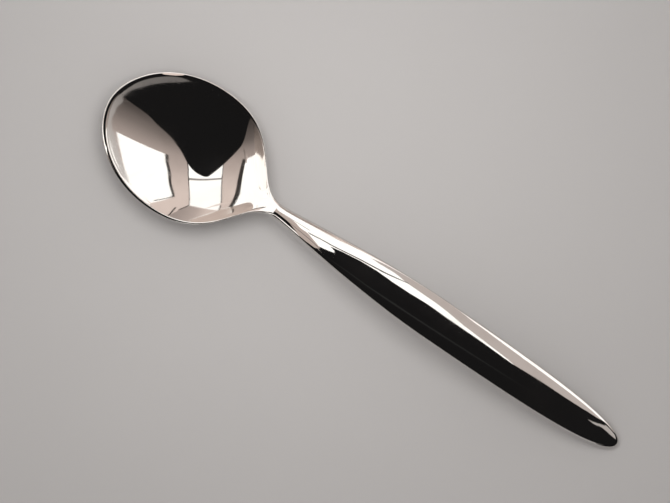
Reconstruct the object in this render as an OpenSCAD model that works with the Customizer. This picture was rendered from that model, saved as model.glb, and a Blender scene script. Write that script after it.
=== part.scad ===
// Soup spoon, forged in one piece: a dished oval bowl, a narrow neck and an arched handle.
// The bowl points to -X and the handle's tip to +X, +Z is up and the spoon rests on z = 0.
// The origin is on the table, below the middle of the spoon's length.
// Places along the spoon are measured from the bowl's front lip.

/* [Overall] */
// Length from the bowl's front lip to the handle's tip
spoon_length = 176; // [160:1:200]

/* [Bowl] */
// Width of the bowl at its widest
bowl_width = 40.6; // [36:0.2:46]
// Distance from the front lip to the bowl's widest place
bowl_widest_at = 27; // [24:0.2:30]
// Depth of the dish below the top of the rim
bowl_depth = 8; // [6:0.5:11]
// Thickness of the metal at the bottom of the bowl
floor_thickness = 1.8; // [1.4:0.1:2.6]
// Thickness of the metal near the front lip
lip_thickness = 1.6; // [1.4:0.1:2.4]
// Rise of the front lip above the lowest stretch of the rim, near the neck
lip_rise = 2.6; // [0:0.2:4]
// Width of the flat rim at the front lip
rim_width = 1.15; // [0.9:0.05:1.6]
// Width of the flat rim where it runs out at the neck
rim_width_at_neck = 0.5; // [0.4:0.05:1]
// Thickness of the outer edge, all round the spoon
edge_thickness = 1; // [0.8:0.1:1.4]
// Metal taken off the underside where the spoon stands, which leaves two small flats
standing_flat = 0.2; // [0.1:0.05:0.4]

/* [Neck] */
// Distance from the front lip to the narrowest place
neck_at = 58.4; // [54:0.2:62]
// Width at the narrowest place
neck_width = 4.4; // [4:0.2:6]
// Thickness at the neck
neck_thickness = 4.6; // [4:0.1:5.4]
// Guide height of the neck above the lowest stretch of the rim
neck_rise = 2.8; // [2:0.2:4]

/* [Handle] */
// Width of the handle at its widest
handle_width = 12.4; // [10:0.2:16]
// Distance from the front lip to the handle's widest place
handle_widest_at = 113; // [100:1:125]
// Thickness along the middle of the handle
handle_thickness = 3.8; // [2.8:0.1:4.4]
// Thickness at the handle's tip
tip_thickness = 2.8; // [2:0.1:3.4]
// Guide height of the handle's arch above the lowest stretch of the rim
arch_rise = 6; // [4:0.2:9]

/* [Hidden] */

// Outline: how far each curve runs on straight before it turns
lip_round_share = 0.418;
front_shoulder_share = 0.638;
neck_sweep_share = 0.339;
inner_shoulder_share = 0.446;
outer_shoulder_share = 0.617;
tip_round_share = 0.88;

// Heights: the dish at every eighth of its length, and the handle's fall from the arch to the tip
dish_shares = [-0.5, -0.03, 0.33, 0.63, 0.87, 1.01, 0.99, 0.65, 0.18, 0, 0];
fall_shares = [0.86, 0.54, 0, -0.8];
// The rim's rise towards the front lip
lip_shares = [1.5, 1, 0.5, 0];
// The dish runs out into the neck this far past its narrowest place
dish_runout = 2;

// Cross sections: the dish fades into the handle's oval over these lengths before and past the neck
fade_before = 12;
fade_past = 4;
// Share of the handle's thickness that lies above its edge line, and how full its oval is
crown_share = 0.48;
oval_power = 2;
// Shares of the rim's width: the rounding where it meets the dish, and the rounding of its edge
rim_corner_share = 0.3;
rim_round_share = 0.43;

// Ribs: they fan out from the centre line at both ends of the spoon
front_fan_share = 0.485;
tip_fan = 4;
tip_fan_length = 14;

// Numbers of ribs along each curve of the outline, and of steps round each half rib
rib_counts = [22, 20, 16, 24];
floor_steps = 7;
corner_steps = 2;
lip_steps = 3;
under_steps = 6;
// How much closer together the steps below lie towards the middle
under_crowding = 1.15;

bowl_half = bowl_width / 2;
neck_half = neck_width / 2;
handle_half = handle_width / 2;
edge_half = edge_thickness / 2;
dish_length = neck_at + dish_runout;
front_fan = front_fan_share * bowl_widest_at;

// Guide heights of the edge line and guide thicknesses, at every eighth of the spoon's length
rim_height = bowl_depth + floor_thickness - edge_half;
arch_height = rim_height + arch_rise;
tip_height = (1 - crown_share) * tip_thickness;
edge_guides = concat(
    [for (share = lip_shares) rim_height + share * lip_rise],
    [rim_height + neck_rise, arch_height, arch_height],
    [for (share = fall_shares) tip_height + share * (arch_height - tip_height)]
);
shoulder_thickness = (3 * floor_thickness + neck_thickness) / 4;
taper = (handle_thickness - tip_thickness) / 2;
metal_guides = concat(
    [lip_thickness, lip_thickness, floor_thickness, shoulder_thickness, neck_thickness],
    [handle_thickness, handle_thickness, handle_thickness],
    [tip_thickness + taper, tip_thickness, tip_thickness - taper]
);

// Curves
function limit(x) = min(max(x, 0), 1);
function mix(a, b, t) = a * (1 - t) + b * t;
function ease(x) = let (t = limit(x)) t ^ 3 * (t * (6 * t - 15) + 10);
function bezier(p, t) =
    p[0] * (1 - t) ^ 3 + 3 * p[1] * (1 - t) ^ 2 * t + 3 * p[2] * (1 - t) * t ^ 2 + p[3] * t ^ 3;
// A smooth curve drawn towards evenly spaced guide values, at one share of its length
function drawn(guides, share) =
    let (spans = len(guides) - 3)
    let (at = limit(share) * spans)
    let (i = min(floor(at), spans - 1))
    let (t = at - i)
    (guides[i] * (1 - t) ^ 3
        + guides[i + 1] * (3 * t ^ 3 - 6 * t ^ 2 + 4)
        + guides[i + 2] * (3 * t + 3 * t ^ 2 - 3 * t ^ 3 + 1)
        + guides[i + 3] * t ^ 3) / 6;

// Outline: one side of the spoon seen from above, in four curves with no corner between them
shoulder_front = front_shoulder_share * bowl_widest_at;
shoulder_back = shoulder_front * sqrt((bowl_half - neck_half) / (bowl_half * (1 - lip_round_share)));
sweep_front = neck_sweep_share * (neck_at - bowl_widest_at);
sweep_back = sweep_front * sqrt((handle_half - neck_half) / (bowl_half - neck_half));
inner_shoulder = inner_shoulder_share * (handle_widest_at - neck_at);
outer_shoulder = outer_shoulder_share * (spoon_length - handle_widest_at);
outline_curves = [
    [[0, 0], [0, lip_round_share * bowl_half],
        [bowl_widest_at - shoulder_front, bowl_half], [bowl_widest_at, bowl_half]],
    [[bowl_widest_at, bowl_half], [bowl_widest_at + shoulder_back, bowl_half],
        [neck_at - sweep_front, neck_half], [neck_at, neck_half]],
    [[neck_at, neck_half], [neck_at + sweep_back, neck_half],
        [handle_widest_at - inner_shoulder, handle_half], [handle_widest_at, handle_half]],
    [[handle_widest_at, handle_half], [handle_widest_at + outer_shoulder, handle_half],
        [spoon_length, tip_round_share * handle_half], [spoon_length, 0]]
];
outline = concat(
    [for (k = [0:3]) for (i = [0:rib_counts[k] - 1]) bezier(outline_curves[k], i / rib_counts[k])],
    [[spoon_length, 0]]
);

// Heights along the centre line
probe = spoon_length / 10000;
function edge_z(x) = drawn(edge_guides, x / spoon_length);
function metal(x) = drawn(metal_guides, x / spoon_length);
function dish(x) = x < dish_length ? bowl_depth * drawn(dish_shares, x / dish_length) : 0;
function floor_z(x) = edge_z(x) + edge_half - dish(x);
function under_z(x) = floor_z(x) - metal(x);
function floor_slope(x) = (floor_z(x + probe) - floor_z(x - probe)) / (2 * probe);
function under_slope(x) = (under_z(x + probe) - under_z(x - probe)) / (2 * probe);

// Width of the rim at one place, and the cut that leaves the standing flats
function rim(x) = mix(rim_width, rim_width_at_neck, limit(x / neck_at));
function stand(z) = max(z, standing_flat) - standing_flat;

// Foot of a rib on the centre line, for the place x where the rib meets the outline
function rib_foot(x) =
    x + front_fan * limit(1 - x / neck_at) ^ 2
        - tip_fan * limit((x - spoon_length + tip_fan_length) / tip_fan_length) ^ 2;

// Half a cross section of the bowl: [distance from the foot, height, side], from the middle of
// the dish over the rim and round the edge to the middle of the underside
function bowl_section(x, foot, reach) =
    let (wall = reach - rim(x), rim_corner = rim_corner_share * rim(x))
    let (edge_in = reach - rim_round_share * rim(x))
    let (edge = edge_z(x), top = edge + edge_half, below = edge - edge_half)
    let (floor_mid = floor_z(foot), floor_lean = floor_slope(foot) * (x - foot) * wall / reach)
    let (under_mid = under_z(foot), under_lean = under_slope(foot) * (x - foot))
    let (dished = function (d) let (s = d / wall)
        floor_mid + floor_lean * s + (top - floor_mid - floor_lean) * s ^ 2)
    let (domed = function (d) let (s = d / reach)
        under_mid + under_lean * s + (below - under_mid - under_lean) * s ^ 2)
    let (corner_z = dished(wall - rim_corner), turn_z = domed(edge_in))
    concat(
        [for (i = [0:floor_steps]) let (d = (wall - rim_corner) * i / floor_steps) [d, dished(d), 1]],
        [for (i = [1:corner_steps]) let (t = i / corner_steps)
            [wall - rim_corner * (1 - 2 * t), mix(mix(corner_z, top, t), top, t), 1]],
        [for (i = [0:lip_steps]) let (t = i / lip_steps)
            [mix(mix(edge_in, reach, t), reach, t), mix(top, edge, t ^ 2), 1]],
        [for (i = [1:lip_steps]) let (t = i / lip_steps)
            [mix(reach, edge_in, t ^ 2), mix(mix(edge, below, t), mix(below, turn_z, t), t), -1]],
        [for (i = [1:under_steps]) let (d = edge_in * (1 - i / under_steps) ^ under_crowding)
            [d, domed(d), -1]]
    );

// Height of the handle's oval section, above its edge line for side 1 and below it for side -1
function oval_z(x, foot, share, side) =
    mix(edge_z(foot), edge_z(x), share)
        + (side > 0 ? crown_share : crown_share - 1) * metal(foot)
        * (1 - limit(share) ^ oval_power) ^ (1 / oval_power);

// One half rib in space: the bowl's section fading into the handle's oval
function half_rib(p) =
    let (foot = rib_foot(p.x), reach = norm([p.x - foot, p.y]))
    let (fade = ease((p.x - neck_at + fade_before) / (fade_before + fade_past)))
    [for (q = bowl_section(p.x, foot, reach))
        let (share = q[0] / reach)
        [mix(foot, p.x, share), p.y * share, mix(q[1], oval_z(p.x, foot, share, q[2]), fade)]];

// All half ribs, leaned and lowered so that the bowl and the handle's tip both rest on the table,
// where the cut leaves each a small flat to stand on
raw_ribs = [for (p = outline) half_rib(p)];
rib_last = len(raw_ribs) - 1;
step_last = len(raw_ribs[0]) - 1;
bowl_points = [for (rib = raw_ribs) for (p = rib) if (p.x < neck_at) p];
tip_points = [for (rib = raw_ribs) for (p = rib) if (p.x > handle_widest_at) p];
function lowest(points) = let (low = min([for (p = points) p.z])) [for (p = points) if (p.z == low) p][0];
bowl_rest = lowest(bowl_points);
tip_rest = lowest(tip_points);
lean = (tip_rest.z - bowl_rest.z) / (tip_rest.x - bowl_rest.x);
leaned_low = min([for (rib = raw_ribs) for (p = rib) p.z - lean * p.x]);
ribs = [for (rib = raw_ribs) [for (p = rib)
    [p.x - spoon_length / 2, p.y, stand(p.z - lean * p.x - leaned_low)]]];

// Points of the first side, then of the mirrored side without the points on the centre line
inner_steps = step_last - 1;
first_count = (rib_last + 1) * (step_last + 1);
spoon_points = concat(
    [for (rib = ribs) for (p = rib) p],
    [for (i = [1:rib_last - 1]) for (j = [1:inner_steps]) [ribs[i][j].x, -ribs[i][j].y, ribs[i][j].z]]
);
function near_point(i, j) = i * (step_last + 1) + j;
function is_shared(i, j) = i == 0 || i == rib_last || j == 0 || j == step_last;
function far_point(i, j) =
    is_shared(i, j) ? near_point(i, j) : first_count + (i - 1) * inner_steps + j - 1;
// Two triangles for one cell, split so that no diagonal joins two points of the centre line
function split(cell, turned) =
    let (a = cell[0], b = cell[1], c = cell[2], d = cell[3])
    turned ? [[a, b, d], [b, c, d]] : [[a, b, c], [a, c, d]];
spoon_faces = [for (i = [0:rib_last - 1]) for (j = [0:step_last - 1])
    let (turned = (i < rib_last / 2) == (j > step_last / 2))
    let (k = i + 1, l = j + 1)
    let (near_cell = [near_point(i, j), near_point(i, l), near_point(k, l), near_point(k, j)])
    let (far_cell = [far_point(k, j), far_point(k, l), far_point(i, l), far_point(i, j)])
    each concat(split(near_cell, turned), split(far_cell, !turned))];

// The whole spoon, one solid piece of metal
module spoon() {
    color("silver")
        polyhedron(points = spoon_points, faces = spoon_faces, convexity = 6);
}

spoon();
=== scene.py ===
# %% [markdown]
# # A soup spoon in mirror-polished steel
#
# The real spoon is forged and pressed from one blank of stainless steel: a dished oval bowl with a
# narrow flat rim, a thin neck and an arched handle with an oval cross section. There is no seam in
# it, so there is one piece here too. All that shows on such a spoon is its shape and what it
# mirrors, so the lesson has two halves: a surface smooth enough to be a mirror, and a room of
# glowing sheets for it to mirror.

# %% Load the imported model
import math
import bpy
import numpy as np
from mathutils import Matrix, Vector


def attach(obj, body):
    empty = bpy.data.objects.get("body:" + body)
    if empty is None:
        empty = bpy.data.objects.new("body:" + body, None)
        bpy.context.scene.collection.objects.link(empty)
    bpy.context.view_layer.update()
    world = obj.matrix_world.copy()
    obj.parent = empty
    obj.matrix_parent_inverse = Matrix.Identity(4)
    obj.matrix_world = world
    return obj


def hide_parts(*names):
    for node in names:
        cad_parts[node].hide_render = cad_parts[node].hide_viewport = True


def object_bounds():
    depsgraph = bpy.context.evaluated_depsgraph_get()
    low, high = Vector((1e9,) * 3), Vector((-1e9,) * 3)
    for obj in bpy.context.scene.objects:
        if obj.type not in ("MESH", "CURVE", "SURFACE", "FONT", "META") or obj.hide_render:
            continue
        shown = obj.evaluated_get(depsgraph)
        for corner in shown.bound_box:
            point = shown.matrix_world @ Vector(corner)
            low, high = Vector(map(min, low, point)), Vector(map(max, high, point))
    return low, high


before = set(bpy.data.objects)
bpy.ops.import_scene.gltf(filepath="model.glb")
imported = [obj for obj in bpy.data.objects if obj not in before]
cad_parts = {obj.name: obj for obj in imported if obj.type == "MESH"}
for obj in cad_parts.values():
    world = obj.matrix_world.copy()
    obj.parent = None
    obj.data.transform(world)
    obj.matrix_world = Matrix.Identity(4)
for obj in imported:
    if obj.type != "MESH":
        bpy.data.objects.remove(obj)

CAD_BOX = [[float(value) for value in corner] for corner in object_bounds()]
print("CAD box in metres:", CAD_BOX)

# %% [markdown]
# ## Sizes
# The length and the bowl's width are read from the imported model. The other sizes are the model's
# own, in millimetres, because a spoon is drawn in millimetres. Places along the spoon are measured
# from the bowl's front lip.

# %% Sizes of the spoon, in millimetres
MM = 0.001
SPOON_LENGTH = (CAD_BOX[1][0] - CAD_BOX[0][0]) / MM
BOWL_WIDTH = (CAD_BOX[1][1] - CAD_BOX[0][1]) / MM
BOWL_WIDEST_AT = 27.0
BOWL_DEPTH = 8.0
FLOOR_THICKNESS = 1.8
LIP_THICKNESS = 1.6
LIP_RISE = 2.6
RIM_WIDTH = 1.15
RIM_WIDTH_AT_NECK = 0.5
EDGE_THICKNESS = 1.0
STANDING_FLAT = 0.2
NECK_AT = 58.4
NECK_WIDTH = 4.4
NECK_THICKNESS = 4.6
NECK_RISE = 2.8
HANDLE_WIDTH = 12.4
HANDLE_WIDEST_AT = 113.0
HANDLE_THICKNESS = 3.8
TIP_THICKNESS = 2.8
ARCH_RISE = 6.0
DISH_RUNOUT = 2.0
FADE_BEFORE = 12.0
FADE_PAST = 4.0
RIM_CORNER_SHARE = 0.3
RIM_ROUND_SHARE = 0.43
CROWN_SHARE = 0.48
print(f"spoon {SPOON_LENGTH:.1f} mm long, bowl {BOWL_WIDTH:.1f} mm wide")

# %% [markdown]
# ## The camera
# The photograph looks almost straight down on the spoon through a long lens, from a little past
# the handle's side. The camera is placed from the angle of the spoon in the picture, so its axis
# first leans along the handle and then turns about itself.

# %% Camera
AXIS_LEAN = math.radians(5.4)
SPOON_TURN = math.radians(34.45)
AIM = Vector((-9.17, -0.18, 12.0)) * MM
DISTANCE = 688.8 * MM
LENS = 130
SENSOR_WIDTH = 36

view_axis = Vector((math.sin(AXIS_LEAN), 0, math.cos(AXIS_LEAN)))
along = Vector((math.cos(AXIS_LEAN), 0, -math.sin(AXIS_LEAN)))
across = view_axis.cross(along)
image_right = along * math.cos(SPOON_TURN) + across * math.sin(SPOON_TURN)
image_up = view_axis.cross(image_right)

camera = bpy.data.objects.new("camera", bpy.data.cameras.new("camera"))
camera.data.lens = LENS
camera.data.sensor_width = SENSOR_WIDTH
turn = Matrix((image_right, image_up, view_axis)).transposed().to_4x4()
camera.matrix_world = Matrix.Translation(AIM + view_axis * DISTANCE) @ turn
bpy.context.scene.collection.objects.link(camera)
bpy.context.scene.camera = camera
print("camera at", [round(value, 3) for value in camera.matrix_world.translation])

# %% [markdown]
# ## Curves to draw with
# A mirror shows every kink in a surface, also one that a hand could not feel. The two curves here
# bend smoothly everywhere: a Bezier curve between two ends, and a spline that is drawn towards a
# row of guide values without a jump in its slope or its bend.

# %% Curves
def mix(a, b, t):
    """a where t is 0, b where t is 1, and a straight blend between them."""
    return a * (1 - t) + b * t


def ease(t):
    """A step from 0 to 1 that starts and ends flat: 6 t^5 - 15 t^4 + 10 t^3."""
    t = np.clip(t, 0, 1)
    return t ** 3 * (t * (6 * t - 15) + 10)


def bezier(points, t):
    """The cubic curve from the first to the last point, pulled by the two points between."""
    a, b, c, d = np.array(points, float)
    t = t[:, None]
    return a * (1 - t) ** 3 + 3 * b * (1 - t) ** 2 * t + 3 * c * (1 - t) * t ** 2 + d * t ** 3


def drawn(guides, share):
    """A uniform cubic spline over the guides: four neighbours weighted by t^3 polynomials."""
    guides = np.array(guides, float)
    spans = len(guides) - 3
    at = np.clip(share, 0, 1) * spans
    i = np.minimum(at.astype(int), spans - 1)
    t = at - i
    near = guides[i] * (1 - t) ** 3 + guides[i + 1] * (3 * t ** 3 - 6 * t ** 2 + 4)
    far = guides[i + 2] * (3 * t + 3 * t ** 2 - 3 * t ** 3 + 1) + guides[i + 3] * t ** 3
    return (near + far) / 6

# %% [markdown]
# ## The outline
# Seen from above, one side of the spoon is four curves: round the front lip to the bowl's widest
# place, in to the neck, out to the handle's widest place, and round its tip. Where two curves
# meet, both run along the spoon and bend by the same amount, so the edge has no corner.

# %% Outline, as pairs of place along the spoon and half width
LIP_ROUND_SHARE = 0.418
FRONT_SHOULDER_SHARE = 0.638
NECK_SWEEP_SHARE = 0.339
INNER_SHOULDER_SHARE = 0.446
OUTER_SHOULDER_SHARE = 0.617
TIP_ROUND_SHARE = 0.88
RIB_COUNTS = (100, 90, 70, 110)


def outline():
    """The four curves, sampled at equal steps of each curve's own parameter."""
    bowl, neck, handle = BOWL_WIDTH / 2, NECK_WIDTH / 2, HANDLE_WIDTH / 2
    front = FRONT_SHOULDER_SHARE * BOWL_WIDEST_AT
    back = front * math.sqrt((bowl - neck) / (bowl * (1 - LIP_ROUND_SHARE)))
    sweep_in = NECK_SWEEP_SHARE * (NECK_AT - BOWL_WIDEST_AT)
    sweep_out = sweep_in * math.sqrt((handle - neck) / (bowl - neck))
    inner = INNER_SHOULDER_SHARE * (HANDLE_WIDEST_AT - NECK_AT)
    outer = OUTER_SHOULDER_SHARE * (SPOON_LENGTH - HANDLE_WIDEST_AT)
    curves = (
        ((0, 0), (0, LIP_ROUND_SHARE * bowl), (BOWL_WIDEST_AT - front, bowl),
         (BOWL_WIDEST_AT, bowl)),
        ((BOWL_WIDEST_AT, bowl), (BOWL_WIDEST_AT + back, bowl), (NECK_AT - sweep_in, neck),
         (NECK_AT, neck)),
        ((NECK_AT, neck), (NECK_AT + sweep_out, neck), (HANDLE_WIDEST_AT - inner, handle),
         (HANDLE_WIDEST_AT, handle)),
        ((HANDLE_WIDEST_AT, handle), (HANDLE_WIDEST_AT + outer, handle),
         (SPOON_LENGTH, TIP_ROUND_SHARE * handle), (SPOON_LENGTH, 0)),
    )
    pieces = [bezier(c, np.arange(n) / n) for c, n in zip(curves, RIB_COUNTS)]
    return np.vstack(pieces + [np.array([[SPOON_LENGTH, 0.0]])])


EDGE = outline()
print(len(EDGE), "places along the outline")

# %% [markdown]
# ## Heights along the middle
# From the side the spoon is a long wave: the bowl's floor rises steeply to the neck, the handle
# arches over and comes down to the table at its tip. Three rows of guide values draw it: the
# height of the edge, the depth of the dish below it, and the thickness of the metal.

# %% Heights of the edge, the dish and the underside
DISH_SHARES = (-0.5, -0.03, 0.33, 0.63, 0.87, 1.01, 0.99, 0.65, 0.18, 0, 0)
FALL_SHARES = (0.86, 0.54, 0, -0.8)
LIP_SHARES = (1.5, 1, 0.5, 0)
RIM_HEIGHT = BOWL_DEPTH + FLOOR_THICKNESS - EDGE_THICKNESS / 2
ARCH_HEIGHT = RIM_HEIGHT + ARCH_RISE
TIP_HEIGHT = (1 - CROWN_SHARE) * TIP_THICKNESS
EDGE_GUIDES = [RIM_HEIGHT + share * LIP_RISE for share in LIP_SHARES]
EDGE_GUIDES += [RIM_HEIGHT + NECK_RISE, ARCH_HEIGHT, ARCH_HEIGHT]
EDGE_GUIDES += [TIP_HEIGHT + share * (ARCH_HEIGHT - TIP_HEIGHT) for share in FALL_SHARES]
TAPER = (HANDLE_THICKNESS - TIP_THICKNESS) / 2
METAL_GUIDES = [LIP_THICKNESS, LIP_THICKNESS, FLOOR_THICKNESS,
                (3 * FLOOR_THICKNESS + NECK_THICKNESS) / 4, NECK_THICKNESS,
                HANDLE_THICKNESS, HANDLE_THICKNESS, HANDLE_THICKNESS,
                TIP_THICKNESS + TAPER, TIP_THICKNESS, TIP_THICKNESS - TAPER]
DISH_LENGTH = NECK_AT + DISH_RUNOUT
PROBES_PER_LENGTH = 10000
SHOWN_PLACES = np.array([0, 30, NECK_AT, 90, 130, SPOON_LENGTH])


def edge_z(x):
    """Height of the middle of the outer edge."""
    return drawn(EDGE_GUIDES, x / SPOON_LENGTH)


def metal(x):
    """Thickness of the metal on the centre line."""
    return drawn(METAL_GUIDES, x / SPOON_LENGTH)


def floor_z(x):
    """Top of the metal on the centre line: half an edge above the edge line, less the dish."""
    dish = np.where(x < DISH_LENGTH, BOWL_DEPTH * drawn(DISH_SHARES, x / DISH_LENGTH), 0)
    return edge_z(x) + EDGE_THICKNESS / 2 - dish


def under_z(x):
    """Underside on the centre line."""
    return floor_z(x) - metal(x)


def slope(height, x):
    """Rise of a height line per millimetre, from two places close together."""
    probe = SPOON_LENGTH / PROBES_PER_LENGTH
    return (height(x + probe) - height(x - probe)) / (2 * probe)


for place in SHOWN_PLACES:
    print(f"{place:5.0f} mm: edge {edge_z(place):5.1f}, metal {metal(place):4.1f}")

# %% [markdown]
# ## Cross sections
# A grid of straight slices would pinch at the rounded ends. Instead half ribs fan out from the
# centre line to the edge, as the ribs of a leaf do. Along each rib the section of the bowl is a
# parabola for the dish, a small rounding, the flat rim, the rounded edge and a second parabola
# below. The handle's section is an oval, and in the neck the one turns into the other.

# %% Ribs
FRONT_FAN = 0.485 * BOWL_WIDEST_AT
TIP_FAN = 4.0
TIP_FAN_LENGTH = 14.0
STEPS = {"floor": 34, "corner": 6, "rim": 5, "lip": 8, "under_lip": 8, "under": 28}


def steps(name, first=1):
    """The shares 0 to 1 of one stretch of a rib, as a row; the stretch before ends at its 0."""
    return (np.arange(first, STEPS[name] + 1) / STEPS[name])[None]


def rib_feet(x):
    """Where the rib that ends at place x starts on the centre line: both ends fan out."""
    fan = FRONT_FAN * np.clip(1 - x / NECK_AT, 0, 1) ** 2
    tip = TIP_FAN * np.clip((x - SPOON_LENGTH + TIP_FAN_LENGTH) / TIP_FAN_LENGTH, 0, 1) ** 2
    return x + fan - tip


def half_ribs():
    """All half ribs, as an array of ribs, steps and coordinates.

    Along a rib, s is the distance from the foot as a share. Dish and underside are
    middle + lean * s + (edge - middle - lean) * s^2, where lean is the slope of the centre line
    times the rib's run along the spoon. The oval is the edge line plus or minus
    thickness * sqrt(1 - s^2). Bowl and oval blend over the neck.
    """
    x, half = EDGE[:, 0], EDGE[:, 1]
    foot = rib_feet(x)
    reach = np.hypot(x - foot, half)[:, None]
    rim = mix(RIM_WIDTH, RIM_WIDTH_AT_NECK, np.clip(x / NECK_AT, 0, 1))[:, None]
    rim_corner = RIM_CORNER_SHARE * rim
    wall = reach - rim
    edge_in = reach - RIM_ROUND_SHARE * rim
    run = (x - foot)[:, None]
    edge = edge_z(x)[:, None]
    top, below = edge + EDGE_THICKNESS / 2, edge - EDGE_THICKNESS / 2
    middle = floor_z(foot)[:, None]
    lean = slope(floor_z, foot)[:, None] * run * wall / reach
    under = under_z(foot)[:, None]
    under_lean = slope(under_z, foot)[:, None] * run

    def dished(d):
        return middle + lean * d / wall + (top - middle - lean) * (d / wall) ** 2

    def domed(d):
        return under + under_lean * d / reach + (below - under - under_lean) * (d / reach) ** 2

    stretches = []
    d = (wall - rim_corner) * steps("floor", 0)
    stretches.append((d, dished(d), 1))
    t = steps("corner")
    corner = dished(wall - rim_corner)
    stretches.append((wall - rim_corner * (1 - 2 * t), mix(mix(corner, top, t), top, t), 1))
    t = steps("rim")[:, :-1]
    stretches.append((mix(wall + rim_corner, edge_in, t), top + 0 * t, 1))
    t = steps("lip", 0)
    stretches.append((mix(mix(edge_in, reach, t), reach, t), mix(top, edge, t ** 2), 1))
    t = steps("under_lip")
    turned = mix(mix(edge, below, t), mix(below, domed(edge_in), t), t)
    stretches.append((mix(reach, edge_in, t ** 2), turned, -1))
    d = edge_in * (1 - steps("under"))
    stretches.append((d, domed(d), -1))

    distance = np.hstack([stretch[0] for stretch in stretches])
    bowl = np.hstack([stretch[1] for stretch in stretches])
    side = np.hstack([np.full(stretch[0].shape[1], stretch[2]) for stretch in stretches])
    share = np.clip(distance / reach, 0, 1)
    half_thick = np.where(side > 0, CROWN_SHARE, CROWN_SHARE - 1) * metal(foot)[:, None]
    oval = mix(edge_z(foot)[:, None], edge, share) + half_thick * np.sqrt(1 - share ** 2)
    fade = ease((x - NECK_AT + FADE_BEFORE) / (FADE_BEFORE + FADE_PAST))[:, None]
    along_spoon = mix(foot[:, None], x[:, None], share)
    return np.stack([along_spoon, half[:, None] * share, mix(bowl, oval, fade)], axis=-1)


RIBS = half_ribs()
print("ribs and steps:", RIBS.shape[:2])

# %% [markdown]
# ## Resting on the table
# A spoon laid down touches the table with its bowl and with the tip of its handle. So the wave is
# leaned by the small slope between those two low points, and lowered to the table. A polished
# underside would balance on two points, so each is ground to a small flat, a fifth of a
# millimetre deep, as the real one is by use.

# %% Lean and lower the ribs, and move the origin below the middle
def seated(ribs):
    """Heights less the slope between the two resting points, cut off level a little way up."""
    bowl = ribs[ribs[..., 0] < NECK_AT]
    tip = ribs[ribs[..., 0] > HANDLE_WIDEST_AT]
    a, b = bowl[bowl[:, 2].argmin()], tip[tip[:, 2].argmin()]
    ribs = ribs.copy()
    ribs[..., 2] -= (b[2] - a[2]) / (b[0] - a[0]) * ribs[..., 0]
    ribs[..., 2] = np.maximum(ribs[..., 2] - ribs[..., 2].min(), STANDING_FLAT) - STANDING_FLAT
    ribs[..., 0] -= SPOON_LENGTH / 2
    return ribs * MM


NEAR_SIDE = seated(RIBS)
print(f"height {NEAR_SIDE[..., 2].max() / MM:.2f} mm, CAD {CAD_BOX[1][2] / MM:.2f} mm")

# %% [markdown]
# ## One closed skin
# The second side mirrors the first. Both share the points on the centre line, above and below and
# at the two ends, so the skin closes without a seam or a pole.

# %% Build the spoon's mesh
def closed_skin(name, ribs):
    """A mesh of quads over a half grid and its mirror image, with shared points where they meet."""
    last, step = ribs.shape[0] - 1, ribs.shape[1] - 1
    mirrored = ribs[1:-1, 1:-1] * (1, -1, 1)
    points = np.vstack([ribs.reshape(-1, 3), mirrored.reshape(-1, 3)])
    near = np.arange(ribs.shape[0] * ribs.shape[1]).reshape(ribs.shape[:2])
    far = near.copy()
    far[1:-1, 1:-1] = near.size + np.arange((last - 1) * (step - 1)).reshape(last - 1, step - 1)

    def cells(grid):
        corners = grid[:-1, :-1], grid[1:, :-1], grid[1:, 1:], grid[:-1, 1:]
        return np.stack(corners, -1).reshape(-1, 4)

    quads = np.vstack([cells(near), cells(far)[:, ::-1]])
    mesh = bpy.data.meshes.new(name)
    mesh.vertices.add(len(points))
    mesh.vertices.foreach_set("co", points.ravel().astype(np.float32))
    mesh.loops.add(quads.size)
    mesh.loops.foreach_set("vertex_index", quads.ravel().astype(np.int32))
    mesh.polygons.add(len(quads))
    mesh.polygons.foreach_set("loop_start", np.arange(0, quads.size, 4, dtype=np.int32))
    mesh.update(calc_edges=True)
    mesh.validate()
    mesh.polygons.foreach_set("use_smooth", np.ones(len(mesh.polygons), bool))
    piece = bpy.data.objects.new(name, mesh)
    bpy.context.scene.collection.objects.link(piece)
    print(name, len(points), "points,", 2 * len(quads), "triangles")
    return piece


spoon = closed_skin("polished_spoon", NEAR_SIDE)
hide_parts("spoon")
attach(spoon, "root")

# %% [markdown]
# ## Mirror-polished steel
# Stainless steel reflects about two thirds of the light, a little less of the blue. The polish is
# nearly perfect: what shows on a used spoon are very fine hairlines, mostly along the spoon,
# a slight waviness left by the press, and thin smears where it was handled. All three are small,
# so that the mirror image stays crisp.

# %% Node helpers
HAIRLINE_STRETCH = (60, 2600, 2600)
HAIRLINE_RANGE = (0.58, 0.72)
SMEAR_RANGE = (0.48, 0.75)


def add_node(tree, kind, **values):
    """A new node with some of its inputs or properties set by name."""
    node = tree.nodes.new(kind)
    for name, value in values.items():
        if name in node.inputs:
            node.inputs[name].default_value = value
        else:
            setattr(node, name, value)
    return node


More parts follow.
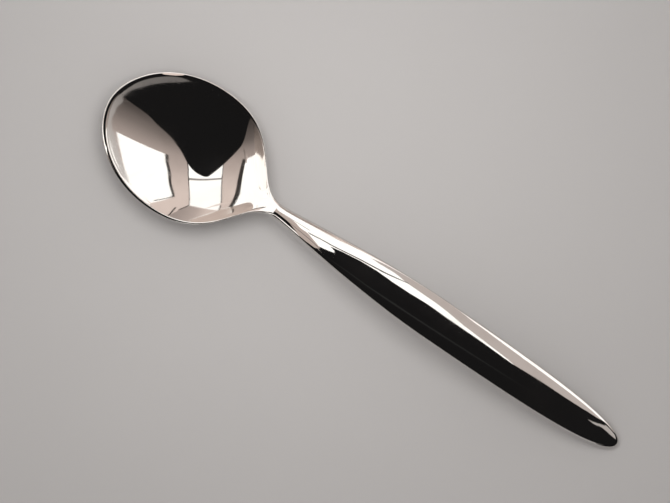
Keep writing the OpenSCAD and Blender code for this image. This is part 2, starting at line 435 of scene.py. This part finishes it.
def polish_marks():
    """A node group: smear and hairline masks and a height for fine scratches and waves."""
    tree = bpy.data.node_groups.new("polish marks", "ShaderNodeTree")
    for name, kind in (("Place", "NodeSocketVector"), ("Hairlines", "NodeSocketFloat"),
                       ("Smears", "NodeSocketFloat")):
        tree.interface.new_socket(name, in_out="INPUT", socket_type=kind)
    for name in ("Smear", "Hairline"):
        tree.interface.new_socket(name, in_out="OUTPUT", socket_type="NodeSocketFloat")
    inputs, outputs = tree.nodes.new("NodeGroupInput"), tree.nodes.new("NodeGroupOutput")
    link = tree.links.new

    stretched = add_node(tree, "ShaderNodeMapping")
    stretched.inputs["Scale"].default_value = HAIRLINE_STRETCH
    link(inputs.outputs["Place"], stretched.inputs["Vector"])
    lines = add_node(tree, "ShaderNodeTexNoise", Scale=1.0, Detail=3.0, Roughness=0.6)
    link(stretched.outputs[0], lines.inputs["Vector"])
    sharp = add_node(tree, "ShaderNodeMapRange")
    for socket, value in zip(("From Min", "From Max"), HAIRLINE_RANGE):
        sharp.inputs[socket].default_value = value
    link(lines.outputs[0], sharp.inputs["Value"])
    strength = add_node(tree, "ShaderNodeMath", operation="MULTIPLY")
    link(sharp.outputs[0], strength.inputs[0])
    link(inputs.outputs["Hairlines"], strength.inputs[1])
    link(strength.outputs[0], outputs.inputs["Hairline"])

    cloud = add_node(tree, "ShaderNodeTexNoise", Scale=55.0, Detail=4.0, Roughness=0.55,
                     Distortion=0.8)
    link(inputs.outputs["Place"], cloud.inputs["Vector"])
    thin = add_node(tree, "ShaderNodeMapRange")
    for socket, value in zip(("From Min", "From Max"), SMEAR_RANGE):
        thin.inputs[socket].default_value = value
    link(cloud.outputs[0], thin.inputs["Value"])
    smear = add_node(tree, "ShaderNodeMath", operation="MULTIPLY")
    link(thin.outputs[0], smear.inputs[0])
    link(inputs.outputs["Smears"], smear.inputs[1])
    link(smear.outputs[0], outputs.inputs["Smear"])
    return tree


POLISH_MARKS = polish_marks()
print("node groups:", [group.name for group in bpy.data.node_groups])

# %% [markdown]
# ## The metal itself
# Clean steel is nearly free of blur; under a smear it is a little duller and darker. The waves are
# a hundredth of a millimetre high and the hairlines a tenth of that. Both are bumps in the shading
# only, because neither could be seen in the outline.

# %% Polished steel
CLEAN_TINT = (0.74, 0.72, 0.695, 1)
SMEARED_TINT = (0.68, 0.655, 0.625, 1)
ROUGHNESS_RANGE = (0.035, 0.1)
WAVE_HEIGHT = 0.00001
HAIRLINE_DEPTH = 0.000001


def polished_steel():
    """Bare metal whose roughness and tint follow the smears, with hairlines in a bump."""
    material = bpy.data.materials.new("mirror polished stainless steel")
    material.use_nodes = True
    tree = material.node_tree
    link = tree.links.new
    shader = tree.nodes["Principled BSDF"]
    shader.inputs["Metallic"].default_value = 1.0
    place = add_node(tree, "ShaderNodeTexCoord")
    marks = add_node(tree, "ShaderNodeGroup", node_tree=POLISH_MARKS)
    marks.inputs["Hairlines"].default_value = 1.0
    marks.inputs["Smears"].default_value = 1.0
    link(place.outputs["Object"], marks.inputs["Place"])

    tint = add_node(tree, "ShaderNodeMix", data_type="RGBA")
    tint.inputs["A"].default_value = CLEAN_TINT
    tint.inputs["B"].default_value = SMEARED_TINT
    link(marks.outputs["Smear"], tint.inputs["Factor"])
    link(tint.outputs["Result"], shader.inputs["Base Color"])

    rough = add_node(tree, "ShaderNodeMapRange")
    for socket, value in zip(("To Min", "To Max"), ROUGHNESS_RANGE):
        rough.inputs[socket].default_value = value
    link(marks.outputs["Smear"], rough.inputs["Value"])
    link(rough.outputs[0], shader.inputs["Roughness"])

    wave = add_node(tree, "ShaderNodeTexNoise", Scale=130.0, Detail=1.0)
    link(place.outputs["Object"], wave.inputs["Vector"])
    pressed = add_node(tree, "ShaderNodeBump", Distance=WAVE_HEIGHT, Strength=1.0)
    link(wave.outputs[0], pressed.inputs["Height"])
    scratched = add_node(tree, "ShaderNodeBump", Distance=HAIRLINE_DEPTH, Strength=1.0)
    link(marks.outputs["Hairline"], scratched.inputs["Height"])
    link(pressed.outputs[0], scratched.inputs["Normal"])
    link(scratched.outputs[0], shader.inputs["Normal"])
    return material


spoon.data.materials.append(polished_steel())
print("material:", spoon.data.materials[0].name)

# %% [markdown]
# ## The table
# The spoon lies on a plain, matt, warm grey board. A large flat sheet is enough, with a faint
# mottling so that it is not one dead colour.

# %% Table
TABLE_SIZE = 3.0
TABLE_ROUGHNESS = 0.65
TABLE_DARK = (0.512, 0.497, 0.489, 1)
TABLE_LIGHT = (0.528, 0.512, 0.504, 1)
MOTTLE_SCALE = 18.0


def table_finish():
    """A matt coating whose grey varies by less than two hundredths."""
    material = bpy.data.materials.new("matt warm grey table")
    material.use_nodes = True
    tree = material.node_tree
    shader = tree.nodes["Principled BSDF"]
    shader.inputs["Roughness"].default_value = TABLE_ROUGHNESS
    shader.inputs["Specular IOR Level"].default_value = 0.0
    place = add_node(tree, "ShaderNodeTexCoord")
    mottle = add_node(tree, "ShaderNodeTexNoise", Scale=MOTTLE_SCALE, Detail=3.0)
    tree.links.new(place.outputs["Object"], mottle.inputs["Vector"])
    tint = add_node(tree, "ShaderNodeMix", data_type="RGBA")
    tint.inputs["A"].default_value = TABLE_DARK
    tint.inputs["B"].default_value = TABLE_LIGHT
    tree.links.new(mottle.outputs[0], tint.inputs["Factor"])
    tree.links.new(tint.outputs["Result"], shader.inputs["Base Color"])
    return material


def flat_board(name, corners, material):
    """One four-cornered face with the given material, linked into the scene."""
    mesh = bpy.data.meshes.new(name)
    mesh.from_pydata([tuple(corner) for corner in corners], [], [(0, 1, 2, 3)])
    mesh.materials.append(material)
    board = bpy.data.objects.new(name, mesh)
    bpy.context.scene.collection.objects.link(board)


HALF = TABLE_SIZE / 2
flat_board("table", ((-HALF, -HALF, 0), (HALF, -HALF, 0), (HALF, HALF, 0), (-HALF, HALF, 0)),
           table_finish())
print("table", TABLE_SIZE, "m square")

# %% [markdown]
# ## A room to mirror
# Polished metal has no look of its own, so it is lit with what it should mirror: here a pale room
# that is darker near the floor, tall windows, and a plain black board on the near side, which
# gives the metal its dark, crisp half. All of these are sheets that give off light. Each is ruled
# between two smooth lines. Only polished metal sees them, so other views show a plain set.

# %% Smooth lines, and sheets ruled between two of them
BOWL_CENTRE = np.array([-58.0, 0.0, 4.0])
SHEET_ROWS = 33
SHEET_COLUMNS = 65
WHITE = (1.55, 1.52, 1.48)
FRAME = (0.055, 0.048, 0.045)
BLACK = (0.0105, 0.0102, 0.0104)
HIDDEN_FROM = ("camera", "diffuse", "shadow", "transmission", "volume_scatter")


def cream(level):
    """The warm wall colour at a level of brightness."""
    return (level, 0.84 * level, 0.77 * level)


def grey(level):
    """A nearly neutral colour at a level of brightness."""
    return (level, 0.93 * level, 0.89 * level)


def flowing(corners, count=12):
    """A smooth line through all corners: cubics that keep the slope between the neighbours."""
    points = np.array(corners, float)
    ends = np.vstack([2 * points[0] - points[1], points, 2 * points[-1] - points[-2]])
    t = (np.arange(count) / count)[:, None]
    pieces = []
    for a, b, c, d in zip(ends, ends[1:], ends[2:], ends[3:]):
        bend = (2 * a - 5 * b + 4 * c - d) * t ** 2 + (3 * b - a - 3 * c + d) * t ** 3
        pieces.append((2 * b + (c - a) * t + bend) / 2)
    return np.vstack(pieces + [points[-1:]])


def even(line, count):
    """The same line with its points at even distances."""
    run = np.concatenate([[0], np.cumsum(np.hypot(*np.diff(line, axis=0).T))])
    at = np.linspace(0, run[-1], count)
    return np.stack([np.interp(at, run, line[:, 0]), np.interp(at, run, line[:, 1])], -1)


def ruled(first, second):
    """Pairs of numbers from one smooth line to the other, as rows by columns."""
    a, b = (even(flowing(line), SHEET_COLUMNS) for line in (first, second))
    share = np.linspace(0, 1, SHEET_ROWS)[:, None, None]
    return mix(a, b, share)


print("each sheet has", SHEET_ROWS, "by", SHEET_COLUMNS, "points")

# %% [markdown]
# ## Painted light
# One material serves all sheets. It gives off the colour that is painted on a sheet's points, so
# a wall can fade from dark to bright in one piece.

# %% The material of the sheets
def painted_light():
    """One material for all sheets: it gives off the colour painted on their points."""
    material = bpy.data.materials.new("painted light")
    material.use_nodes = True
    tree = material.node_tree
    tree.nodes.clear()
    paint = add_node(tree, "ShaderNodeAttribute", attribute_name="paint")
    light = add_node(tree, "ShaderNodeEmission")
    out = add_node(tree, "ShaderNodeOutputMaterial")
    tree.links.new(paint.outputs["Color"], light.inputs["Color"])
    tree.links.new(light.outputs[0], out.inputs["Surface"])
    return material


PAINTED_LIGHT = painted_light()
print("material:", PAINTED_LIGHT.name)

# %% [markdown]
# ## Three kinds of sheet
# A far sheet is drawn as the bowl sees it: in degrees to the right and degrees up from the
# camera's axis, on a wide sphere round the bowl. A low sheet lies level close above the spoon and
# a standing sheet is upright on the table, both in millimetres along and across the spoon.

# %% Sheets far away, close above, and upright
def sheet(name, places, colours):
    """A curved sheet over a grid of places, with colours blended evenly along its columns."""
    rows, columns = places.shape[:2]
    grid = np.arange(rows * columns).reshape(rows, columns)
    corners = grid[:-1, :-1], grid[:-1, 1:], grid[1:, 1:], grid[1:, :-1]
    quads = np.stack(corners, -1).reshape(-1, 4)
    mesh = bpy.data.meshes.new(name)
    mesh.from_pydata((places.reshape(-1, 3) * MM).tolist(), [], quads.tolist())
    stops = np.array(colours if isinstance(colours[0], tuple) else (colours, colours))
    at = np.linspace(0, len(stops) - 1, columns)
    shades = [np.interp(at, np.arange(len(stops)), stops[:, channel]) for channel in range(3)]
    paint = np.ones((rows, columns, 4), np.float32)
    paint[..., :3] = np.stack(shades, -1)
    mesh.color_attributes.new("paint", "FLOAT_COLOR", "POINT")
    mesh.color_attributes["paint"].data.foreach_set("color", paint.ravel())
    mesh.materials.append(PAINTED_LIGHT)
    piece = bpy.data.objects.new(name, mesh)
    bpy.context.scene.collection.objects.link(piece)
    for kind in HIDDEN_FROM:
        setattr(piece, "visible_" + kind, False)


def far_sheet(name, first, second, colours, radius):
    """A sheet on a wide sphere round the bowl; its lines are in degrees right and up."""
    view = ruled(first, second)
    angle = np.maximum(np.hypot(view[..., 0], view[..., 1]), 1e-6)[..., None]
    sideways = (np.array(image_right) * view[..., :1] + np.array(image_up) * view[..., 1:]) / angle
    turned = np.radians(angle)
    lines = np.array(view_axis) * np.cos(turned) + sideways * np.sin(turned)
    sheet(name, BOWL_CENTRE + lines * radius, colours)


def low_sheet(name, first, second, colours, height):
    """A level sheet close above the spoon; its lines are in millimetres along and across it."""
    flat = ruled(first, second)
    places = np.concatenate([flat, np.full(flat.shape[:2] + (1,), height)], -1)
    sheet(name, places, colours)


def standing_sheet(name, line, foot, top, colours):
    """An upright sheet over a line on the table, from one height to another."""
    flat = ruled(line, line)
    heights = mix(foot, top, np.linspace(0, 1, SHEET_ROWS))[:, None, None] + 0 * flat[..., :1]
    sheet(name, np.concatenate([flat, heights], -1), colours)

# %% [markdown]
# ## Walls and windows
# Two halves of the wall meet behind the windows and fade from nearly black at the floor to
# bright: a painted shade, darker low down. The windows stand a little nearer than the wall and
# their frames nearer still, so each covers what lies behind it.

# %% The pale wall, the windows and their frames
WALL_RADIUS = 4200
WINDOW_RADIUS = 4100
OUTER_WINDOW_RADIUS = 4000
FRAME_RADIUS = 3900
LEFT_FRAME_RADIUS = 3800
SILL_TONES = (0.45, 0.5, 0.62, 0.86, 0.94)
# Wall tones from the floor up are painted shade: nearly black low down, bright higher up.
RIGHT_TONES = (0.02, 0.04, 0.07, 0.1, 0.24, 0.5, 0.62, 0.77, 0.87, 0.92, 0.92, 0.9, 0.88, 0.8)
LEFT_TONES = (0.02, 0.05, 0.09, 0.18, 0.42, 0.58, 0.66, 0.77, 0.87, 0.92, 0.92, 0.9, 0.88, 0.8)
far_sheet("right_wall",
          ((-10, -60), (-10, 104)),
          ((100, -60), (100, 104)),
          [cream(tone) for tone in RIGHT_TONES], WALL_RADIUS)
far_sheet("left_wall",
          ((-125, -60), (-125, 104)),
          ((-10, -60), (-10, 104)),
          [cream(tone) for tone in LEFT_TONES], WALL_RADIUS)
far_sheet("middle_window",
          ((10.2, 9), (11, 17), (12, 24), (12.2, 37), (11, 52), (8.5, 68)),
          ((-31, -3), (-30, 13), (-29, 28), (-28.3, 44), (-28, 62), (-28, 84)),
          WHITE, WINDOW_RADIUS)
far_sheet("right_window",
          ((38.6, 4), (41, 14), (43, 28), (43.2, 40), (42.5, 48), (40, 56), (35, 64)),
          ((22, 6), (24, 14), (25, 24), (26, 39), (24.5, 55)),
          WHITE, WINDOW_RADIUS)
far_sheet("outer_window",
          ((41.8, 2), (42.8, 8), (44, 15.5), (44.8, 25.5), (44.7, 36), (43.4, 46.5), (42, 52)),
          ((62, -4), (64, 10), (66, 26), (62, 45), (52, 66)),
          WHITE, OUTER_WINDOW_RADIUS)
far_sheet("left_window",
          ((-70, -2), (-62, 14), (-53, 34), (-43, 58), (-38, 75), (-36, 98)),
          ((-118, -12.6), (-118, 15), (-105, 40), (-85, 65), (-60, 98)),
          WHITE, WINDOW_RADIUS)
far_sheet("transom",
          ((12, 27.6), (-5, 27.6), (-29, 27)),
          ((12, 30.4), (-5, 30.4), (-29, 29.6)),
          grey(0.42), FRAME_RADIUS)
far_sheet("middle_frame_left",
          ((-30.4, -3), (-29.4, 13), (-28.4, 28), (-27.7, 44), (-27.4, 62), (-27.4, 84)),
          ((-31.6, -3), (-30.6, 13), (-29.6, 28), (-28.9, 44), (-28.6, 62), (-28.6, 84)),
          FRAME, FRAME_RADIUS)
far_sheet("middle_frame_right",
          ((9.9, 9), (10.7, 17), (11.7, 24), (11.9, 37), (10.7, 52), (8.2, 68)),
          ((10.7, 9), (11.5, 17), (12.5, 24), (12.7, 37), (11.5, 52), (9, 68)),
          FRAME, FRAME_RADIUS)
far_sheet("right_frame",
          ((22.2, 6), (24.2, 14), (25.2, 24), (26.2, 39), (24.6, 55)),
          ((20.8, 6), (22.8, 14), (23.6, 24), (24.6, 39), (22.8, 55)),
          FRAME, FRAME_RADIUS)
far_sheet("left_frame",
          ((-63.5, -1), (-56, 15), (-48, 35), (-40, 59), (-36.5, 75), (-34, 98)),
          ((-70, -2), (-62, 14), (-53, 34), (-43.5, 58), (-39.5, 75), (-37, 98)),
          FRAME, LEFT_FRAME_RADIUS)
far_sheet("sill",
          ((22.5, 79), (16.5, 73.5), (8.5, 68.5), (-10, 77), (-28, 85)),
          ((24, 94), (10, 97), (0, 98), (-14, 99), (-28, 100)),
          [cream(tone) for tone in SILL_TONES], WINDOW_RADIUS)
far_sheet("sill_edge_left", ((8.5, 67), (17, 72)), ((8.5, 68.5), (17, 73.5)), FRAME, FRAME_RADIUS)
far_sheet("sill_edge_right", ((19.5, 69), (21.5, 78)), ((21, 69), (23, 78)), FRAME, FRAME_RADIUS)
far_sheet("window_head",
          ((24.6, 54), (30, 57.5), (34, 60.5)),
          ((24.6, 55), (30, 58.5), (34, 61.5)),
          FRAME, FRAME_RADIUS)
print("sheets so far:", PAINTED_LIGHT.users)

# %% [markdown]
# ## The black board and the rim strip
# The board is a plain blunt shape. Along its outer edge the bowl's far rim shows a narrow strip
# that grows brighter from one end to the other.

# %% The black board, and the lighter strip along the bowl's far rim
BOARD_RADIUS = 3700
RIM_STRIP_RADIUS = 3650
RIM_TONES = (0.18, 0.19, 0.2, 0.22, 0.3, 0.36, 0.48, 0.58, 0.68, 0.72, 0.74)
far_sheet("black_board",
          ((23.5, -26), (20, -23), (17, -20), (16, -15), (14, -11), (12.8, -5), (11.8, 0),
           (10.5, 9), (7, 17), (0, 23), (-8, 24.5), (-14.5, 18), (-18, 6)),
          ((-10, -62), (-20, -60), (-40, -58), (-60, -56), (-84, -50), (-74, -36), (-68, -24),
           (-60, -15), (-45, -8), (-31, -2), (-18, 6)),
          BLACK, BOARD_RADIUS)
far_sheet("rim_strip",
          ((-30, -58), (-20, -55), (-6, -49), (3, -44), (11, -38), (17, -33), (23, -26),
           (25, -22), (31, -14), (34, -9), (37, -4), (39, 1), (40, 6), (41.5, 14), (43, 24),
           (43.2, 35), (43, 47)),
          ((-30, -75), (-15, -72), (0, -66), (12, -58), (22, -50), (30, -40), (36, -30),
           (40, -20), (42, -8), (42, 2), (43, 8), (44.2, 15.5), (45, 25.5), (44.9, 36),
           (43.4, 47)),
          [grey(level) for level in RIM_TONES], RIM_STRIP_RADIUS)
print("sheets so far:", PAINTED_LIGHT.users)

# %% [markdown]
# ## Sheets close above the handle
# The neck and the handle are mirrors too, and domed ones, so they would show the same room in
# other places. Small sheets close above them shape their own reflections, away from the bowl's
# lines of sight. Where two overlap, the one in front lies some tenths of a millimetre lower.

# %% Handle sheets
LAYER = 0.1
HANDLE_LEVEL = 60
HANDLE_WALL = (0.63, 0.56, 0.53)
GLOW = (0.027, 0.0275, 0.027)
FAINT_GLOW = (0.022, 0.0225, 0.022)
low_sheet("handle_cream",
          ((-38, -60), (420, -60)),
          ((-38, 420), (420, 420)),
          HANDLE_WALL, HANDLE_LEVEL)
low_sheet("handle_window",
          ((-38, -14), (-34, -26), (-30, -24), (-22, -14), (-22, 0), (-13, 10), (4, 9), (30, 8),
           (69.5, 10.5)),
          ((-38, 62), (-26, 62), (-16, 58), (-8.3, 48.5), (0.4, 45.1), (5, 38), (9, 31.5),
           (18.3, 28.1), (25.6, 27), (30.7, 24.9), (38.8, 20), (44, 18.6), (49.3, 17.2),
           (54.8, 16.2), (63, 14.8), (69.5, 12.2)),
          WHITE, HANDLE_LEVEL - LAYER)
low_sheet("handle_high_window",
          ((-38, 55), (-38, 900)),
          ((-16, 55), (-16, 900)),
          WHITE, HANDLE_LEVEL - LAYER)
low_sheet("handle_transom",
          ((-36.5, -3), (-31, 4.8), (-26, 7.4), (-21, 11.4), (-16, 14.4), (-11, 16.4), (-5, 18),
           (1, 20.6), (6, 25.6), (10, 31.6)),
          ((-37.5, 0.5), (-31, 8.6), (-26, 11), (-21, 15), (-16, 18), (-11, 20), (-5, 21.6),
           (1, 24.4), (6, 29.4), (10, 35)),
          grey(0.12), HANDLE_LEVEL - 2 * LAYER)
low_sheet("handle_far_window",
          ((44, 420), (45, 110), (52, 84), (62, 68), (87, 59), (138, 78), (250, 140), (420, 230)),
          ((44, 430), (100, 430), (250, 430), (420, 430)),
          WHITE, HANDLE_LEVEL - LAYER)
low_sheet("handle_black",
          ((-26, 3), (-24, 7), (-19, 11), (-13, 14), (-7, 15.5), (-1.5, 13.9), (4.6, 12),
           (10, 12.8), (15, 11.5), (20.4, 13.3), (27.4, 12.5), (37.2, 12.5), (47.2, 12.8),
           (57.8, 12.4), (68.5, 11.9), (74.7, 13.8), (88, 17.5), (105, 22), (123, 33), (150, 62),
           (178, 103), (260, 200), (420, 330)),
          ((-23, -2), (-22, -13), (-28, -19), (-33, -26), (-36, -42), (-38, -70), (-38, -200),
           (-38, -420), (60, -420), (200, -420), (420, -420)),
          BLACK, HANDLE_LEVEL - 4 * LAYER)
low_sheet("handle_glow",
          ((-36, -54), (-29, -43), (-17, -30), (-5, -24), (8, -18), (25, -15), (50, -12),
           (90, -8)),
          ((-36, -59.5), (-29, -48.5), (-17, -34.5), (-5, -28), (8, -21.5), (25, -17.8),
           (50, -14.2), (90, -9.3)),
          [BLACK, GLOW, GLOW, FAINT_GLOW, BLACK], HANDLE_LEVEL - 5 * LAYER)
low_sheet("handle_tip_light",
          ((123, 11.5), (132, 21), (157, 54), (200, 100), (420, 240)),
          ((123, 11.5), (131, 13), (147, 28), (223, 58), (420, 120)),
          grey(0.55), HANDLE_LEVEL - 6 * LAYER)
print("sheets so far:", PAINTED_LIGHT.users)

# %% [markdown]
# ## The dark line round the tip
# The rounded end of the handle looks level across the table. A low dark strip that stands round it
# gives it the thin dark line which sets it off from the table.

# %% A low strip round the tip
TIP_STRIP_FOOT = 0.1
TIP_STRIP_TOP = 3.7
standing_sheet("tip_strip",
               ((89, -12.1), (93.5, -8), (95.8, -2.4), (95.5, 3.6), (92.4, 9.4)),
               TIP_STRIP_FOOT, TIP_STRIP_TOP, BLACK)
print("tip strip", TIP_STRIP_TOP, "mm high")

# %% [markdown]
# ## Sheets above the neck
# The neck is narrow and strongly curved. Its sheets lie half as high as the handle's: a piece of
# wall with a darker streak, a bright glint, a black wedge, and a white card over the throat, where
# bowl and neck meet.

# %% Neck sheets
NECK_LEVEL = 30
THROAT_LEVEL = 19
low_sheet("neck_cream",
          ((-48, 2), (-38, 3), (-33, 4), (-31, 3), (-28, -2), (-25, -2), (-23, -5), (-21, -8),
           (-19.5, -11)),
          ((-50, -75), (-46, -72), (-44, -62), (-42, -55), (-36, -48), (-32, -38), (-26, -28),
           (-22, -18)),
          cream(0.62), NECK_LEVEL)
low_sheet("neck_streak",
          ((-34, -9), (-30, -9), (-27, -9.5), (-24, -10), (-20.5, -12)),
          ((-34, -10.5), (-30, -10.8), (-27, -11.4), (-24, -12), (-20.5, -14)),
          cream(0.2), NECK_LEVEL - LAYER)
low_sheet("neck_glint",
          ((-48, -26), (-41, -30), (-38, -34), (-36, -32)),
          ((-50, -75), (-46, -70), (-42, -55), (-38, -40)),
          WHITE, NECK_LEVEL - LAYER)
low_sheet("neck_wedge",
          ((-47, -6), (-38, -7), (-33, -10), (-33, -26)),
          ((-47, -26), (-41, -30), (-38, -34), (-34, -27)),
          BLACK, NECK_LEVEL - 2 * LAYER)
low_sheet("throat_card", ((-46, -7), (-36, -7)), ((-46, 9), (-36, 9)), WHITE, THROAT_LEVEL)
print("sheets so far:", PAINTED_LIGHT.users)

# %% [markdown]
# ## Cards just above the bowl's rim
# The bowl's steep walls next to the neck mirror the opposite wall, so their light meets the metal
# twice and leaves the bowl low over the rim. There small cards can shape it without covering much
# of the windows: a shaded and a white one for one side, a beige one for the other.

# %% Small cards for the double reflections
CARD_LEVEL = 26
SILL_CARD_LEVEL = 18
CARD_WHITE = (2.2, 2.14, 2.06)
SHADE_TONES = (0.2, 0.21, 0.24, 0.3, 0.38, 0.46, 0.54, 0.62, 0.68, 0.7, 0.7)
low_sheet("bowl_card_shade",
          ((-77.2, -22.4), (-79.4, -22.6), (-81, -23), (-83, -23.5), (-85, -24), (-87, -24.5)),
          ((-77.2, -20.6), (-78.4, -20), (-79.6, -18.4), (-80.6, -17.5), (-82.4, -17.6),
           (-83.7, -18), (-84.3, -18.8), (-84.7, -19.5), (-85.5, -20.7), (-87, -22.2)),
          [cream(tone) for tone in SHADE_TONES], CARD_LEVEL)
low_sheet("bowl_card_white",
          ((-82, -17.4), (-83.7, -18), (-84.3, -18.8), (-84.7, -19.5), (-85.5, -20.7),
           (-87, -22.2), (-106, -23)),
          ((-82, -14), (-83, -13.5), (-84, -13.5), (-86, -13.5), (-106, -13.5)),
          CARD_WHITE, CARD_LEVEL - LAYER)
low_sheet("sill_card_beige",
          ((-74.8, 12.6), (-77, 13), (-80.3, 14.6), (-81.6, 15.4)),
          ((-74.8, 20), (-77, 18.6), (-78.5, 17.6), (-81.4, 17)),
          cream(0.98), SILL_CARD_LEVEL)
print("sheets in all:", PAINTED_LIGHT.users)

# %% [markdown]
# ## Light on the table
# The room's even light falls on the table from all sides. One soft round lamp hangs low over the
# far side of the spoon, so that the table is brightest there, fades to the corners and keeps a
# faint shadow on the near side. The lamp is hidden from the polished metal, which has its windows.

# %% The room's light and the soft lamp
ROOM_TINT = (0.74, 0.72, 0.71, 1)
ROOM_STRENGTH = 0.77
LAMP_SIZE = 0.11
LAMP_ENERGY = 0.17
LAMP_TINT = (1.0, 0.99, 0.98)
LAMP_UP = 0.05
LAMP_RIGHT = -0.012
LAMP_HEIGHT = 0.166

world = bpy.data.worlds.new("pale room")
world.use_nodes = True
background = world.node_tree.nodes["Background"]
background.inputs["Color"].default_value = ROOM_TINT
background.inputs["Strength"].default_value = ROOM_STRENGTH
bpy.context.scene.world = world

lamp = bpy.data.objects.new("soft lamp", bpy.data.lights.new("soft lamp", "AREA"))
lamp.data.shape = "DISK"
lamp.data.size = LAMP_SIZE
lamp.data.energy = LAMP_ENERGY
lamp.data.color = LAMP_TINT
lamp.location = (AIM + image_up * LAMP_UP + image_right * LAMP_RIGHT
                 + Vector((0, 0, LAMP_HEIGHT)))
lamp.visible_glossy = False
lamp.visible_camera = False
bpy.context.scene.collection.objects.link(lamp)
bpy.context.scene.view_settings.view_transform = "Standard"
print("lamp at", [round(value, 3) for value in lamp.location])
